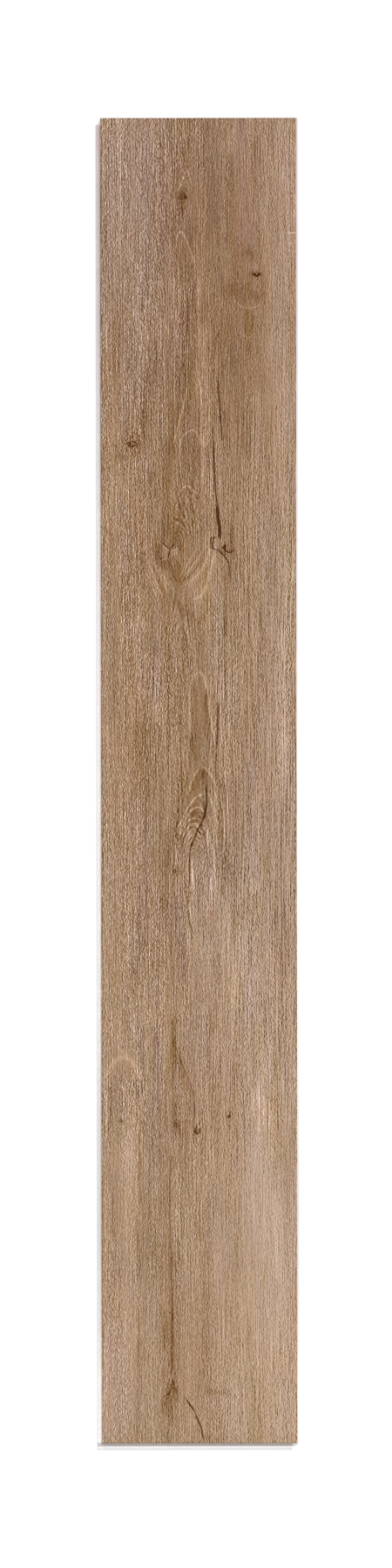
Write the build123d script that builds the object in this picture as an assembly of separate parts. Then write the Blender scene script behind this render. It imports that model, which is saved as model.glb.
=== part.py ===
"""Rigid core vinyl plank with click joints, lying face up.

The face is centred on the origin in X and Y, the underside lies on Z = 0, and the length runs along Y.
A printed vinyl layer covers a mineral core. The core carries the joints: a lower lip stands out beyond
the face along the left side (-X) and the near end (-Y), and the right side (+X) and the far end (+Y)
are cut away underneath, so that they sit over the lips of the next planks.
"""

import os

from build123d import *

# Face and layers, in millimetres
face_width = 180.0
face_length = 1220.0
vinyl_thickness = 0.7
micro_bevel = 0.35

# Gaps that the joints keep when two planks are laid
joint_clearance = 0.05
dust_gap = 0.3

# Side joint, along the length: a tongue that is angled into a slot above a hooked lip
side_lip_thickness = 1.45
side_pocket_width = 2.2
side_hook_height = 0.7
side_hook_lean = 0.5
side_hook_crest = 0.6
side_hook_shoulder = 0.7
side_shoulder_drop = 0.45
side_tongue_height = 1.5
side_tongue_reach = 1.5
side_upper_lip = 1.25

# End joint, across the width: a tongue that drops into a hooked lip and snaps under a ridge
end_lip_thickness = 1.3
end_pocket_width = 2.3
end_hook_height = 1.3
end_hook_lean = 0.4
end_hook_crest = 1.6
end_hook_shoulder = 1.2
end_shoulder_drop = 0.8
end_snap_rise = 0.7
end_snap_height = 0.8
end_snap_reach = 0.3

# The tongue is blunt above and well rounded below, so that it can be angled in
NOSE_SHARE = 0.25
BELLY_SHARE = 0.65

# Levels and reaches that follow from the sizes above
side_land = side_lip_thickness + joint_clearance
side_tongue_top = side_land + side_tongue_height
core_thickness = side_tongue_top + joint_clearance + side_upper_lip
plank_thickness = core_thickness + vinyl_thickness
side_lip_reach = side_pocket_width + side_hook_lean + side_hook_crest + side_hook_shoulder
end_lip_reach = end_pocket_width + end_hook_lean + end_hook_crest + end_hook_shoulder
side_recess_depth = side_lip_reach + dust_gap
end_recess_depth = end_lip_reach + dust_gap
half_width = face_width / 2
half_length = face_length / 2


# Edge outlines are lists of (outward from the face edge, height, corner radius), from the top down


def lip_outline(lip_thickness, pocket_width, hook_height, hook_lean, hook_crest, hook_shoulder, shoulder_drop):
    """Upper side of a lower lip: a pocket floor, a hook, and a shoulder that slopes to the lip's end."""
    hook_top = lip_thickness + hook_height
    hook_foot = pocket_width + hook_lean
    lip_reach = hook_foot + hook_crest + hook_shoulder
    return [
        (pocket_width, lip_thickness, 0),
        (hook_foot, hook_top, 0),
        (hook_foot + hook_crest, hook_top, 0),
        (lip_reach, hook_top - shoulder_drop, 0),
        (lip_reach, 0, 0),
    ]


def recess_outline(lip_thickness, pocket_width, hook_height, hook_lean, recess_depth):
    """Underside that seats over such a lip: a land in its pocket, a locking face and a recess for its hook."""
    ceiling = lip_thickness + hook_height + joint_clearance
    return [
        (joint_clearance - pocket_width, lip_thickness + joint_clearance, 0),
        (joint_clearance - pocket_width - hook_lean, ceiling, 0),
        (-recess_depth, ceiling, 0),
        (-recess_depth, 0, 0),
    ]


def side_slot_edge():
    """Left side: the slot under the upper lip, then the lower lip."""
    slot_height = side_tongue_height + 2 * joint_clearance
    slot_depth = side_tongue_reach + dust_gap
    slot_top = side_lip_thickness + slot_height
    return [
        (0, core_thickness, 0),
        (0, slot_top, 0),
        (-slot_depth, slot_top, NOSE_SHARE * slot_height),
        (-slot_depth, side_lip_thickness, BELLY_SHARE * slot_height),
    ] + lip_outline(
        side_lip_thickness,
        side_pocket_width,
        side_hook_height,
        side_hook_lean,
        side_hook_crest,
        side_hook_shoulder,
        side_shoulder_drop,
    )


def side_tongue_edge():
    """Right side: the tongue, then the recess over the next plank's lip."""
    return [
        (0, core_thickness, 0),
        (0, side_tongue_top, 0),
        (side_tongue_reach, side_tongue_top, NOSE_SHARE * side_tongue_height),
        (side_tongue_reach, side_land, BELLY_SHARE * side_tongue_height),
    ] + recess_outline(
        side_lip_thickness,
        side_pocket_width,
        side_hook_height,
        side_hook_lean,
        side_recess_depth,
    )


def end_snap_points(reach, growth):
    """A ridge of triangular section on an end face, or the notch that takes it where reach is inward."""
    bottom = end_lip_thickness + joint_clearance + end_snap_rise
    top = bottom + end_snap_height
    return [
        (0, top + growth, 0),
        (reach, (top + bottom) / 2, 0),
        (0, bottom - growth, 0),
    ]


def end_lip_edge():
    """Near end: the notch for the ridge, then the lower lip."""
    return [
        (0, core_thickness, 0),
        *end_snap_points(-end_snap_reach - joint_clearance, joint_clearance),
        (0, end_lip_thickness, 0),
    ] + lip_outline(
        end_lip_thickness,
        end_pocket_width,
        end_hook_height,
        end_hook_lean,
        end_hook_crest,
        end_hook_shoulder,
        end_shoulder_drop,
    )


def end_drop_edge():
    """Far end: the ridge, the tongue that drops into a pocket, and the recess over the next plank's hook."""
    return [
        (0, core_thickness, 0),
        *end_snap_points(end_snap_reach, 0),
        (0, end_lip_thickness + joint_clearance, 0),
    ] + recess_outline(
        end_lip_thickness,
        end_pocket_width,
        end_hook_height,
        end_hook_lean,
        end_recess_depth,
    )


def section_face(low_edge, high_edge, half_span):
    """Closed section of the core between an edge on its low side and one on its high side."""
    low = [(-half_span - outward, height, radius) for outward, height, radius in low_edge]
    high = [(half_span + outward, height, radius) for outward, height, radius in high_edge]
    corners = low + high[::-1]
    outline = FilletPolyline(
        [(across, height) for across, height, _ in corners],
        radius=[radius for _, _, radius in corners],
        close=True,
    )
    return make_face(outline)


def corner_notch(low_x, high_x, low_y, high_y):
    """Block through the core's thickness that clears a lip at a corner."""
    size_x = high_x - low_x
    size_y = high_y - low_y
    block = Box(size_x, size_y, core_thickness, align=(Align.MIN, Align.MIN, Align.MIN))
    return Pos(low_x, low_y, 0) * block


def build_rigid_core():
    """The core milled along both sides and across both ends, with the lips cleared at two corners."""
    side_section = Plane.XZ * section_face(side_slot_edge(), side_tongue_edge(), half_width)
    end_section = Plane.YZ * section_face(end_lip_edge(), end_drop_edge(), half_length)
    milled_sides = extrude(side_section, amount=half_length + end_recess_depth, both=True)
    milled_ends = extrude(end_section, amount=half_width + side_recess_depth, both=True)
    far_left = corner_notch(
        -half_width - side_recess_depth,
        -half_width,
        half_length - end_recess_depth,
        half_length + end_recess_depth,
    )
    near_right = corner_notch(
        half_width - side_recess_depth,
        half_width + side_recess_depth,
        -half_length - end_recess_depth,
        -half_length,
    )
    return (milled_sides & milled_ends) - far_left - near_right


def build_vinyl_top():
    """The printed layer, the size of the face, with its upper edges bevelled."""
    layer = Box(face_width, face_length, vinyl_thickness, align=(Align.CENTER, Align.CENTER, Align.MIN))
    layer = Pos(0, 0, core_thickness) * layer
    upper_edges = layer.faces().sort_by(Axis.Z)[-1].edges()
    return chamfer(upper_edges, micro_bevel)


pieces = {
    "rigid_core": build_rigid_core(),
    "vinyl_top_layer": build_vinyl_top(),
}

os.makedirs("parts", exist_ok=True)
for name, piece in pieces.items():
    piece.label = name
    export_step(piece, f"parts/{name}.step")
    extent = piece.bounding_box()
    print(name, len(piece.solids()), "solid", round(piece.volume), "mm3", extent.min, extent.max)
print("plank thickness", plank_thickness, "side lip", side_lip_reach, "end lip", end_lip_reach)
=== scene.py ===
"""Looks of a rigid core vinyl plank: an embossed oak print on a milled mineral core."""

import math

import bpy
import numpy as np
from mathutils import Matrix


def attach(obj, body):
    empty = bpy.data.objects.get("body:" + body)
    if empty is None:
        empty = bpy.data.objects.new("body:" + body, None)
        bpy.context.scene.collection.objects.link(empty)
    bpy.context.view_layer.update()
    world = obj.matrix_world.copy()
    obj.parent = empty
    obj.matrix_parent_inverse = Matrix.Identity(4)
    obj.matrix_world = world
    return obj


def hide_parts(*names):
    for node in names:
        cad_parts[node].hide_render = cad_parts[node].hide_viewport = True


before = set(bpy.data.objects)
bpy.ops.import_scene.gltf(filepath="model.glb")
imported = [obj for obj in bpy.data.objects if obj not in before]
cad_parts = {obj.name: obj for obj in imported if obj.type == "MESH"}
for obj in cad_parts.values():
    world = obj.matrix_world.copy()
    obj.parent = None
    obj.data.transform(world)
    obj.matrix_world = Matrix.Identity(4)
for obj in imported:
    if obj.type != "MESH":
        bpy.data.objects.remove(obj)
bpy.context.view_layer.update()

# Sizes in millimetres, as in the CAD model
HALF_WIDTH = 90.0
HALF_LENGTH = 610.0
FACE_LEVEL = 5.0
CORE_LEVEL = 4.3
BEVEL = 0.35
MM = 0.001
TINY = 1e-6

# Rounded bevel of the face, from the top down: (outward from the flat face, level)
BEVEL_RINGS = [(0.13, 4.94), (0.26, 4.82), (BEVEL, 4.65), (BEVEL, CORE_LEVEL)]

# Grid of the face: lines close to the rim, inward from it, and lines over the rest, which stand closer
# together in the spans that hold small marks, given in pixels of the photograph
EDGE_LINES = (0.0, 0.35, 0.8, 1.3)
EDGE_BAND = 2.0
GRID_COLUMNS = 149
GRID_ROWS = 553
DENSE_COLUMNS = [(143, 161), (188, 268), (284, 303)]
DENSE_ROWS = [
    (192, 246), (262, 306), (308, 320), (500, 514), (560, 705), (765, 1076), (1278, 1306), (1590, 1657)
]
COLUMNS_CLOSER = 2.4
ROWS_CLOSER = 3.0

# Dark line that the face shows along its rim, partly the bevel's own darker colour and partly painted shade,
# deeper on some sides: reach inward, colour, and depth by side in 255ths
EDGE_REACH = 1.1
EDGE_SHADE = (1.0, 0.9, 0.75)
EDGE_DEPTH = {"left": 11, "right": 3, "near": 12, "far": 10}

# Embossing, in millimetres
GROOVE_DEPTH = 0.24
PORE_DEPTH = 0.05
WAVE_DEPTH = 0.03
PIT_DEPTH = 0.1
RELIEF_LIMIT = 0.3
RELIEF_FADE = 1.5

# Layers of fibres: (width and length of a fibre in millimetres, seed, detail and roughness of its noise),
# and the share of each layer in the grain
SHORT_FIBRES = (0.5, 15.0, 0.37, 4.0, 1.0)
LONG_FIBRES = (0.7, 60.0, 83.29, 1.0, 0.5)
FLECKS = (1.1, 2.3, 41.7, 0.0, 0.5)
SHORT_SHARE = 2.2
LONG_SHARE = 1.05
BAND_SHARE = 0.28
FLECK_SHARE = 0.85

# Distance across the grain at which one fibre is set off from the next, in millimetres, and by how much,
# and the step in the noise from one fibre to the next
FIBRE_STEP = 0.8
FIBRE_CONTRAST = -0.28
FIBRE_SPREAD = 7.31

# Change of red, green and blue that each kind of mark makes at full strength, as shares of white
GRAIN_COLOUR = (0.56, 0.57, 0.62)
RING_COLOUR = (0.16, 0.15, 0.14)
ARCH_COLOUR = (0.19, 0.19, 0.19)
KNOT_COLOUR = (-0.29, -0.31, -0.33)
CRACK_COLOUR = (-0.37, -0.4, -0.43)
DARKEST = (0.26, 0.13, 0.03)
SCREEN_GAMMA = 2.2

# Edges of strokes in half widths of the stroke, and how ragged they are
ARCH_EDGE = 1.4
CRACK_EDGE = 1.5
RAGGED = 0.7

# Dark ring of a knot, in half sizes of the knot, and how sharply the ring and the heart end
KNOT_RING = 0.85
RING_SHARPNESS = 2.6
HEART_SHARPNESS = 4.0

# Matt film over the print: roughness, shine, and bump (strength, height in metres)
FILM_ROUGHNESS = 0.58
FILM_SHINE = 0.15
FILM_BUMP = (0.1, 0.0003)

# Core, by place along the plank in metres: painted light that makes it paler towards the near end, and
# painted shade at the foot of the end lip
CORE_PALE = 0.92
CORE_PAINTED_LIGHT_FADE = -0.13
LIP_FOOT = (-0.6136, -0.613)
PAST_FACE = (-0.6097, -0.6102)
LIP_FOOT_PAINTED_SHADE = -0.18
CORE_HUE = (1.0, 0.98, 0.97)
FAR_END_SPAN = (1 / 3, 2 / 3)
FAR_END_HUE = (0.0, -0.05, -0.04)

# Patterns of the core: (size of a cell in metres, detail and roughness of its noise), and its surface
CLOUDS = ((0.02, 0.02, 0.02), 3.0, 0.6)
SPECKS = ((0.0006, 0.0006, 0.0006), 2.0, 0.6)
MILLING = ((0.05, 0.0009, 0.004), 2.0, 0.5)
CORE_ROUGHNESS = 0.7
CORE_SHINE = 0.25
CORE_BUMP = (0.3, 0.0001)

# Painted light and shade on the side lip: stretches that are paler or darker, (middle, half length, change)
LIP_PAINTED_LIGHT_AND_SHADE = [(0.0793, 0.345, 0.065), (-0.4104, 0.1493, -0.06)]

# Studio: floor, surroundings, key light in degrees, and the camera straight above
FLOOR_SIDE = 8.0
FLOOR_DROP = 0.0002
FLOOR_WHITE = 0.94
FLOOR_GLOW = 0.1
WORLD_STRENGTH = 0.68
KEY_STRENGTH = 1.3
KEY_ANGLE = 20
KEY_TURN = (-35, 18, 0)
CAMERA_PLACE = (-0.00265, -0.0031, 4.0)
CAMERA_ROLL = -0.078
CAMERA_LENS = 99.65

# The print's marks are placed by their pixel in the photograph, where the face is about 225 by 1520 pixels
PIXEL = 0.8013
PHOTO_MIDDLE = (226.9, 896.1)
PHOTO_LEAN = 0.00148
PHOTO_TOP = 136.0

# Soft patches of the print: (middle, half width, half length, change of red, green and blue in 255ths)
BASE_COLOUR = (159, 128.5, 100.5)
PATCHES = [
    ((150, 260), 55, 200, (-2, -1, 5)),
    ((165, 190), 30, 70, (2, 1, 6)),
    ((225, 330), 45, 300, (-20, -23, -26)),
    ((320, 300), 30, 260, (2, 1, 3)),
    ((300, 1450), 70, 420, (16, 17, 18)),
    ((325, 1450), 30, 300, (8, 8, 10)),
    ((160, 1450), 60, 300, (10, 10, 9)),
    ((240, 1080), 40, 70, (6, 7, 8)),
    ((320, 900), 30, 260, (7, 8, 11)),
    ((150, 900), 40, 200, (0, -2, -4)),
    ((228, 620), 40, 110, (-3, -3, -5)),
    ((228, 820), 35, 80, (-3, -2, -2)),
    ((228, 1030), 38, 90, (-3, -3, -3)),
    ((225, 1580), 38, 80, (-2, -3, -4)),
    ((300, 1580), 35, 90, (4, 3, 1)),
    ((295, 850), 35, 90, (-1, -3, -4)),
    ((155, 600), 40, 150, (-1, -2, -3)),
    ((150, 450), 45, 110, (-2, -3, -3)),
    ((225, 1010), 45, 120, (-2, -2, -1)),
    ((300, 1430), 50, 190, (3, 3, 4)),
    ((150, 1560), 45, 130, (2, 3, 4)),
    ((225, 1200), 45, 120, (1, 0, 1)),
]

# Areas where the grain is faint: (middle, half width, half length, share of the grain taken away),
# with a share below 0 where the grain is strong
CALM = [
    ((310, 300), 40, 200, 0.35),
    ((245, 350), 40, 160, 0.3),
    ((300, 450), 40, 60, 0.3),
    ((228, 820), 13, 60, 0.4),
    ((226, 925), 26, 48, 0.55),
    ((228, 658), 32, 42, 0.4),
    ((203, 580), 16, 60, 0.4),
    ((200, 642), 14, 20, 0.25),
    ((203, 678), 13, 16, 0.5),
    ((210, 282), 11, 24, 0.55),
    ((270, 220), 40, 120, 0.25),
    ((185, 1560), 70, 110, 0.2),
    ((211, 215), 11, 30, 0.55),
    ((142, 1222), 22, 16, 0.55),
    ((140, 1380), 22, 60, 0.4),
    ((310, 1440), 40, 150, 0.4),
    ((245, 1430), 40, 150, 0.25),
    ((186, 778), 14, 24, -0.5),
    ((266, 995), 16, 24, -0.5),
    ((142, 1248), 18, 24, -0.3),
    ((285, 325), 18, 18, -0.3),
    ((228, 890), 30, 40, 0.3),
    ((232, 830), 22, 60, 0.25),
    ((213, 500), 16, 60, 0.3),
    ((210, 205), 12, 20, 0.2),
    ((212, 285), 12, 24, 0.2),
    ((310, 600), 50, 110, 0.22),
    ((202, 692), 16, 26, 0.5),
]

# Area at the right-hand knot where the grain is short and mottled: middle, half width and half length
SWIRL = ((300, 345), 50, 110)

# Knots: (middle, half width, half height, tilt in degrees, depth of colour, how light the heart is), and the
# darker halo round each, with its reach in half sizes of the knot
HALO_REACH = 2.6
HALO_COLOUR = (-12, -14, -18)
KNOTS = [
    ((208.5, 224), 4.4, 4.4, 0, 0.3, 0.2),
    ((212.4, 225.2), 2, 3, -20, 0.75, 0),
    ((291.8, 314.6), 2, 1.7, 0, 1.15, 0),
    ((297.2, 314.2), 1.6, 1.5, 0, 1.1, 0),
    ((151.8, 509.4), 5.6, 3.2, 0, 1.1, 1),
    ((148.6, 509.6), 1.6, 2.4, 0, 0.55, 0),
    ((257.4, 627.8), 2.7, 2, -30, 0.9, 0),
    ((265, 622.3), 1.3, 1.2, 0, 0.5, 0),
    ((200.5, 1000), 2.1, 2, 0, 0.85, 0),
    ((262.6, 1282), 2.1, 2, 0, 0.9, 0.1),
    ((140.5, 1286.5), 1.6, 1.5, 0, 0.35, 0),
    ((226.4, 1298.8), 3.6, 3.2, 0, 0.8, 0.55),
    ((223.8, 1298.4), 1.6, 2.2, 0, 0.7, 0),
    ((225.4, 571.8), 1.5, 1.7, 0, 0.45, 0),
]

# Shape of drawn strokes: half width as a share of the width, share of it left at the tips, and length over
# which a tip widens in millimetres
STROKE_HALF = 0.6
STROKE_TIP = 0.35
STROKE_TAPER = 8.0

# Cracks and dark threads: (width in millimetres, depth, x and y of each point)
CRACKS = [
    (0.9, 0.95, 249.7, 433, 251, 452, 252.7, 476, 254.7, 506),
    (1, 0.95, 244.7, 505, 245.7, 533, 246.7, 556, 248.7, 580),
    (2, 1, 248.5, 576, 250.4, 597, 251.8, 606, 251.8, 618),
    (0.9, 0.9, 247.5, 616, 243.5, 617, 241, 620, 240.7, 624),
    (1.1, 1, 246, 618, 244.3, 621, 243.2, 625, 244.2, 629, 247, 630.3, 250, 630.5),
    (1.1, 1, 249, 630, 253, 634, 257, 638, 260, 642.5, 262.4, 648),
    (0.7, 0.75, 262.2, 647, 263.6, 655, 264.2, 661, 264.6, 669),
    (1.3, 0.95, 255.5, 629, 259, 632.3, 263.5, 634, 268.5, 632),
    (0.6, 0.35, 259, 625.5, 263, 625.5, 267, 629, 268, 632),
    (0.8, 0.4, 259, 655, 258.7, 680, 258.3, 704),
    (0.9, 0.6, 258.3, 704, 258, 718, 258, 734),
    (1.1, 1, 250.5, 806, 249.7, 832, 248.5, 860),
    (0.8, 0.65, 248.5, 860, 247.3, 878, 247.5, 898),
    (1.1, 0.95, 236, 899, 236.6, 912, 236.9, 922, 235.9, 933),
    (1.5, 1, 236.3, 924, 234.8, 935, 231, 945),
    (1.2, 0.95, 231.6, 944, 227, 952, 222, 965),
    (1.6, 1.05, 222.5, 963, 217.8, 975),
    (0.9, 0.75, 218, 975, 217, 990, 217.3, 1008, 216.3, 1021),
    (0.8, 0.65, 216.3, 1021, 215.5, 1041, 216.7, 1056, 219.5, 1066, 223, 1074),
    (0.8, 0.4, 196.3, 1323, 195, 1351, 194.3, 1376, 194.7, 1410, 195.5, 1440),
    (1, 0.33, 195.5, 1440, 196.3, 1470, 197.2, 1491, 197.2, 1525, 196.3, 1558, 197, 1580),
    (1.2, 0.55, 198.2, 1584, 195.7, 1595, 192.7, 1601, 187, 1603.5),
    (0.9, 0.45, 200, 1583, 199.3, 1589, 199.7, 1599),
    (0.9, 0.45, 203.7, 1590, 202.6, 1596, 203.4, 1602),
    (0.9, 0.4, 195.7, 1603, 196.4, 1610.6, 197, 1623, 197.9, 1632),
    (1.3, 1, 213.3, 1606, 217, 1612, 220.6, 1616.5, 223.6, 1622.4),
    (1.4, 0.8, 223.6, 1622.4, 227.2, 1631, 230.9, 1640, 233.8, 1655),
    (0.8, 0.7, 237.5, 1646, 241, 1657),
    (1.1, 0.95, 186, 622.5, 190.5, 627, 194.8, 630.5),
    (1, 0.9, 201.5, 624, 198, 627, 195, 630.3),
    (1.2, 1, 195, 630, 194, 634, 192.5, 641.5),
    (0.6, 0.4, 199.5, 621, 197.5, 625, 195.5, 629),
    (0.9, 0.5, 179.5, 627, 182, 632, 181, 637),
    (0.8, 0.45, 203, 626.5, 206.5, 629),
    (0.8, 0.45, 186, 647, 191, 645.5),
    (0.8, 0.45, 201, 642, 204, 647),
    (0.7, 0.4, 183, 640, 187, 641.5),
    (0.8, 0.4, 190, 652, 196, 655),
    (0.7, 0.4, 205.5, 633, 206.5, 638),
    (0.7, 0.75, 204.5, 227.6, 208, 228.3, 211, 227.6),
    (0.6, 0.3, 209.6, 237, 209.8, 249),
    (1.9, 1.25, 291, 313.8, 292.2, 315.6, 294.7, 316.3, 297, 315.2, 298.1, 313.6),
    (0.6, 0.35, 292, 312.6, 295.5, 311.8, 298, 312.6),
    (0.7, 0.7, 223, 1300, 226, 1302.3, 229.5, 1299.5),
    (0.6, 0.4, 200, 1288, 200.5, 1297),
    (0.6, 0.4, 206, 1289, 206.3, 1296),
    (0.6, 0.35, 213.5, 1291, 216, 1287, 219, 1286, 220.5, 1290),
    (0.7, 0.35, 215.5, 334, 215, 360, 216, 391),
    (0.7, 0.35, 218, 406, 218, 417),
    (0.7, 0.35, 253.5, 376, 248, 389, 246, 410),
    (0.7, 0.3, 206, 458, 203.5, 480, 201, 500),
    (0.7, 0.4, 197.5, 1168, 198.2, 1184, 199.3, 1203),
    (0.8, 0.33, 203, 1205, 209, 1222, 216, 1240, 222, 1258, 223.5, 1282),
    (0.7, 0.3, 198.5, 1205, 198.3, 1225, 198.8, 1247),
    (0.7, 0.5, 162.5, 1237, 162.3, 1255),
    (0.7, 0.45, 162, 1278, 162.5, 1298),
    (0.6, 0.3, 314, 1560, 314, 1592),
    (0.6, 0.3, 288, 1520, 288, 1585),
    (0.7, 0.4, 159, 1300, 159.5, 1330, 159, 1360),
    (0.7, 0.5, 160, 1438, 160.5, 1452, 160, 1466),
    (0.7, 0.35, 159.5, 1500, 159, 1560),
    (0.7, 0.4, 129, 1370, 129.5, 1395, 129, 1420),
    (0.7, 0.35, 172, 1310, 172, 1345),
    (0.6, 0.3, 298, 1620, 298, 1656),
    (0.6, 0.3, 284, 1500, 285, 1560),
    (0.6, 0.15, 196, 612, 199, 606, 203.5, 604, 208, 607, 211, 613),
    (0.6, 0.15, 192, 609, 197, 600, 203.5, 596, 210, 600, 214, 609),
    (0.6, 0.15, 190, 602, 196, 592, 203.5, 588, 211, 593, 215, 602),
    (0.6, 0.25, 231, 640, 225, 652, 215, 663, 208, 667),
    (0.6, 0.3, 326, 1030, 328, 1080, 327, 1130),
]

# Places that the grain arches round: (foot of the arches, lean, width, the area's half width and length,
# 1 for arches above the foot or -1 below it, how plainly ring lines show)
EYES = [
    ((203, 625), -0.124, 1.9, 20, 60, 1, 0.25),
    ((204, 640), 0.03, 2.6, 38, 62, -1, 0),
    ((222, 985), -0.042, 2.4, 30, 110, 1, 0.5),
    ((210.5, 222), -0.125, 1.7, 14, 30, 1, 0.25),
]

# Ring lines in millimetres: distance from one to the next, and from the foot to where they show in full
RING_SPACING = 1.25
RING_START = 6.0

# Half width in millimetres of the seam on an eye's middle line, where the grain is faint
SEAM_WIDTH = 1.3

# Light lines of the grain where it is cut across: (width in millimetres, strength, x and y of each point)
ARCHES = [
    (1, 0.95, 203, 221, 205.5, 212, 210, 204, 214.3, 194, 217.5, 203, 220, 213),
    (0.8, 0.7, 204.5, 218, 208, 211.5, 213, 209, 217, 213, 219, 220),
    (0.7, 0.6, 206, 216, 209.5, 213, 213, 212.5, 215.8, 216, 217, 221),
    (1.1, 1, 201.6, 284, 202.5, 272, 207.2, 265.3, 212, 272, 217, 284, 222, 298, 224, 306),
    (0.8, 0.55, 206, 290, 209, 276, 213, 284, 216, 298),
    (0.7, 0.4, 218, 148, 214, 156, 212, 166),
    (1.2, 0.5, 217.5, 231, 218.5, 238, 217, 246),
    (1.1, 0.65, 268, 343, 275, 350.5, 285, 353.5, 292, 352, 298, 349),
    (0.9, 0.7, 276, 381, 281, 386, 287, 387, 292, 382),
    (0.9, 0.6, 316, 361, 322, 359.5, 329, 355),
    (0.8, 0.5, 277, 346, 277.5, 350),
    (0.9, 0.4, 310, 316, 309, 330, 309, 346),
    (0.9, 0.45, 314, 314, 314, 336),
    (1.2, 0.8, 216, 441, 212, 458, 207, 478, 203, 492, 199, 508),
    (1.3, 0.7, 228, 432, 231, 455, 232.5, 485, 233, 530, 232, 560),
    (1, 0.4, 237, 420, 239, 470, 240, 520, 239, 560),
    (1.3, 0.75, 206.5, 512, 208, 503, 213, 497, 220, 493.5, 226, 497, 228.5, 508),
    (1, 0.8, 206.5, 563, 211, 558.6, 216, 558, 220, 561.5, 224, 567),
    (0.7, 0.4, 194, 611, 198, 603, 203.5, 600, 209, 604, 213, 611),
    (0.7, 0.35, 191, 606, 196, 596, 203.5, 592, 210.5, 597, 214.5, 606),
    (1.6, 0.4, 228.9, 627, 222, 635, 213.6, 651, 209.7, 661),
    (1.6, 0.45, 232.7, 631, 227, 640, 222, 647, 213.6, 659),
    (1.8, 0.5, 240.3, 630, 237, 641, 232.7, 651, 225, 661, 217.4, 668),
    (2.2, 0.5, 246, 633, 244.5, 642, 242.2, 651, 238.4, 666.5, 230.8, 683, 222, 688),
    (1.6, 0.25, 250, 642, 249, 660, 244, 680, 236, 700),
    (1.1, 0.75, 176, 645, 184, 663, 192, 680),
    (1, 0.65, 171, 649, 179, 668, 187, 686),
    (1, 0.65, 181, 648, 187, 660, 194, 674),
    (0.9, 0.55, 167, 654, 175, 674, 183, 692),
    (1.2, 0.9, 197, 633, 201, 631, 205.5, 628.5),
    (1.1, 0.8, 197, 638, 200, 635.5, 204, 634),
    (1, 0.7, 181, 643.5, 185, 643, 191, 640.5),
    (0.8, 0.4, 203, 639, 200.5, 645),
    (0.8, 0.45, 188, 626, 191, 630, 192, 633),
    (1.1, 0.7, 211, 903, 215, 870, 217.5, 840, 217.5, 805, 219, 785, 223, 775, 228.5, 771),
    (1.8, 0.8, 228.5, 771, 234, 778, 238, 795, 240.5, 815, 243.5, 835, 247, 857),
    (1.4, 0.85, 213.5, 915, 217, 905, 221.5, 892.5, 226, 885, 231.5, 880.5),
    (1.4, 0.85, 231.5, 880.5, 236, 882, 240, 887, 243.5, 893, 247, 901),
    (1.5, 1, 204, 952, 209, 941, 213.5, 931, 219, 921.5, 226, 914.5, 234.5, 911),
    (1.4, 1, 205, 960, 210, 948, 214.5, 938, 219, 930.5, 225, 926.8, 230, 927.5, 234, 932),
    (1, 0.95, 207, 958, 212, 947, 217.5, 941, 224, 939.5, 229, 942),
    (1, 0.95, 209, 963, 214, 952, 219, 946.5, 224, 945.5, 227.5, 949),
    (0.9, 0.85, 211, 969, 216, 957.5, 220.5, 952, 225, 953),
    (0.9, 0.8, 212.5, 976, 217, 963, 221, 958, 223.5, 959),
    (0.7, 0.6, 212.5, 984, 216, 972, 219, 966),
    (1.1, 0.8, 240, 913, 244, 925, 247.5, 936, 249, 950, 248.5, 975),
    (0.9, 0.7, 237.5, 935, 242, 943, 244, 955, 243.5, 980),
    (0.9, 0.85, 246, 908, 250.5, 925, 253, 945, 253, 980),
    (0.9, 0.8, 250, 904, 255, 925, 257, 948, 256.5, 980),
    (1, 0.8, 257.5, 880, 260, 910, 262, 945, 261.5, 975),
    (1, 0.8, 234, 944, 237, 950, 238.5, 960, 239, 988),
    (0.8, 0.4, 226, 972, 233, 955, 236.5, 951, 237.5, 972),
    (0.8, 0.45, 244, 945, 245.5, 965, 245, 995, 244, 1020),
    (0.8, 1.15, 220.3, 986, 220.8, 1004, 219.4, 1020),
    (1, 1.2, 218.2, 1030, 218.2, 1044, 219.5, 1060),
    (0.9, 0.95, 242.4, 1000, 242, 1014, 242.4, 1030),
    (0.8, 0.6, 137.8, 703, 138.2, 720, 138, 738),
    (1.8, 0.34, 140, 343, 152, 358, 163, 373, 176, 400),
    (1.2, 0.45, 185, 366, 191, 377, 197, 390),
    (1.8, 0.34, 142, 184, 147, 206, 151, 226),
    (1.4, 0.5, 144, 291, 154, 300, 162, 311, 163.5, 318),
    (0.8, 0.8, 178.5, 343, 178.5, 359),
    (0.8, 0.7, 199.5, 320, 200, 334),
    (0.8, 0.6, 206, 324, 206.5, 345),
    (0.9, 0.9, 170.5, 284, 171, 289),
    (0.9, 0.9, 214, 297, 214.5, 302),
    (0.8, 0.8, 297, 1246, 297.5, 1270, 297, 1300),
    (0.8, 0.8, 303, 1255, 302.5, 1280, 303, 1308),
    (0.8, 0.7, 291.5, 1250, 291, 1288),
    (0.8, 0.7, 309, 1262, 309.5, 1300),
    (0.8, 0.35, 246.5, 1440, 247, 1500),
    (0.8, 0.35, 256, 1470, 256.5, 1545),
    (0.8, 0.35, 251, 1500, 251.5, 1560),
    (0.7, 0.3, 117, 828, 122, 848, 127, 866),
    (0.7, 0.3, 132, 846, 138, 858, 146, 872),
    (1.2, 1.3, 329, 267.5, 335, 267, 341, 267.5),
    (1.2, 0.6, 337.5, 220, 338, 240, 336.5, 258),
    (0.8, 0.6, 209, 1292, 207.6, 1296, 209.5, 1298.5),
    (4, 0.3, 121, 1236, 129, 1221, 141, 1213.5, 152, 1220, 161, 1238, 170, 1250),
    (0.8, 0.4, 247, 1440, 252, 1450, 256, 1456),
    (0.8, 0.4, 251, 1439, 256, 1448, 259, 1453),
]

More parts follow.
